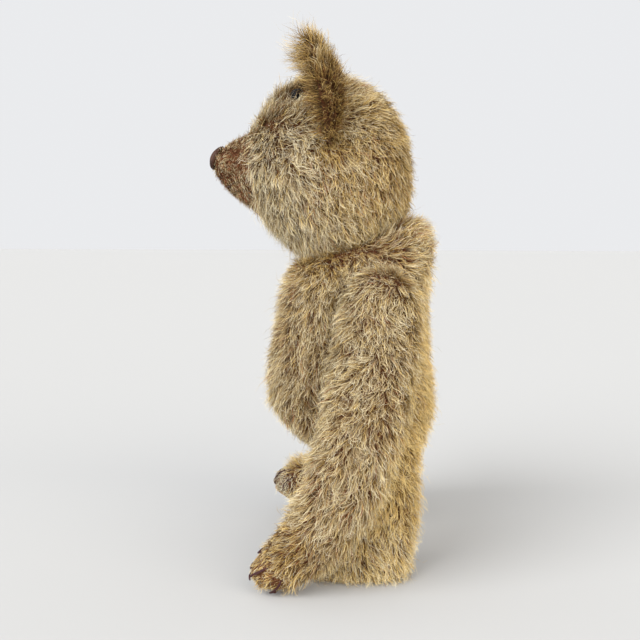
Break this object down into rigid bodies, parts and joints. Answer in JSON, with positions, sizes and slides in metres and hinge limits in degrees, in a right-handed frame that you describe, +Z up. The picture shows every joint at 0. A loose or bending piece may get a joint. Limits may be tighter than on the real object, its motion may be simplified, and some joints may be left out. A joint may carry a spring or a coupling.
{
  "type": "jointed teddy bear",
  "caption": "Standing mohair teddy bear with a long snout, humped back and curved arms; head, arms and legs turn on disc joints.",
  "frame": {"origin": "on the floor, under the middle of the bear's box", "axes": "+Z up, the bear faces -Y, its left side is +X"},
  "size_m": [0.195, 0.1499, 0.3442],
  "materials": {
    "mohair": "worn long-pile mohair",
    "ear_mohair": "worn mohair",
    "felt": "worn wool felt",
    "wood_wool": "fine shavings, packed hard",
    "card": "pressed board",
    "steel": "dull, lightly rusted",
    "boot_button": "gloss black",
    "nose_thread": "cotton embroidery thread",
    "claw_thread": "cotton embroidery thread"
  },
  "bodies": {
    "torso": {"torso_skin_left": "mohair", "torso_skin_right": "mohair", "torso_stuffing": "wood_wool", "torso_neck_disc": "card", "torso_left_arm_disc": "card", "torso_right_arm_disc": "card", "torso_left_leg_disc": "card", "torso_right_leg_disc": "card", "torso_washers": "steel"},
    "head": {"head_side_left": "mohair", "head_side_right": "mohair", "head_gusset": "mohair", "head_stuffing": "wood_wool", "eye_left": "boot_button", "eye_right": "boot_button", "nose_stitching": "nose_thread", "mouth_stitching": "nose_thread", "ear_left_front": "ear_mohair", "ear_left_back": "ear_mohair", "ear_right_front": "ear_mohair", "ear_right_back": "ear_mohair", "head_disc": "card", "head_washer": "steel", "head_cotter_pin": "steel"},
    "left_arm": {"left_arm_outer": "mohair", "left_arm_inner": "mohair", "left_paw_pad": "felt", "left_arm_stuffing": "wood_wool", "left_paw_claws": "claw_thread", "left_arm_disc": "card", "left_arm_washer": "steel", "left_arm_cotter_pin": "steel"},
    "right_arm": {"right_arm_outer": "mohair", "right_arm_inner": "mohair", "right_paw_pad": "felt", "right_arm_stuffing": "wood_wool", "right_paw_claws": "claw_thread", "right_arm_disc": "card", "right_arm_washer": "steel", "right_arm_cotter_pin": "steel"},
    "left_leg": {"left_leg_outer": "mohair", "left_leg_inner": "mohair", "left_leg_stuffing": "wood_wool", "left_foot_sole": "felt", "left_foot_insert": "card", "left_foot_claws": "claw_thread", "left_leg_disc": "card", "left_leg_washer": "steel", "left_leg_cotter_pin": "steel"},
    "right_leg": {"right_leg_outer": "mohair", "right_leg_inner": "mohair", "right_leg_stuffing": "wood_wool", "right_foot_sole": "felt", "right_foot_insert": "card", "right_foot_claws": "claw_thread", "right_leg_disc": "card", "right_leg_washer": "steel", "right_leg_cotter_pin": "steel"}
  },
  "joints": [
    {"name": "neck_turn", "type": "hinge", "parent": "torso", "child": "head", "pos_m": [0, 0.02145, 0.207], "axis": [0, -0.2756, 0.9613], "continuous": true},
    {"name": "left_arm_swing", "type": "hinge", "parent": "torso", "child": "left_arm", "pos_m": [0.038, 0.04345, 0.172], "axis": [-1, 0, 0], "continuous": true},
    {"name": "right_arm_swing", "type": "hinge", "parent": "torso", "child": "right_arm", "pos_m": [-0.038, 0.04345, 0.172], "axis": [-1, 0, 0], "continuous": true},
    {"name": "left_leg_swing", "type": "hinge", "parent": "torso", "child": "left_leg", "pos_m": [0.0333, 0.03945, 0.086], "axis": [-1, 0, 0], "range_deg": [-60, 95]},
    {"name": "right_leg_swing", "type": "hinge", "parent": "torso", "child": "right_leg", "pos_m": [-0.0333, 0.03945, 0.086], "axis": [-1, 0, 0], "range_deg": [-83, 72]}
  ]
}
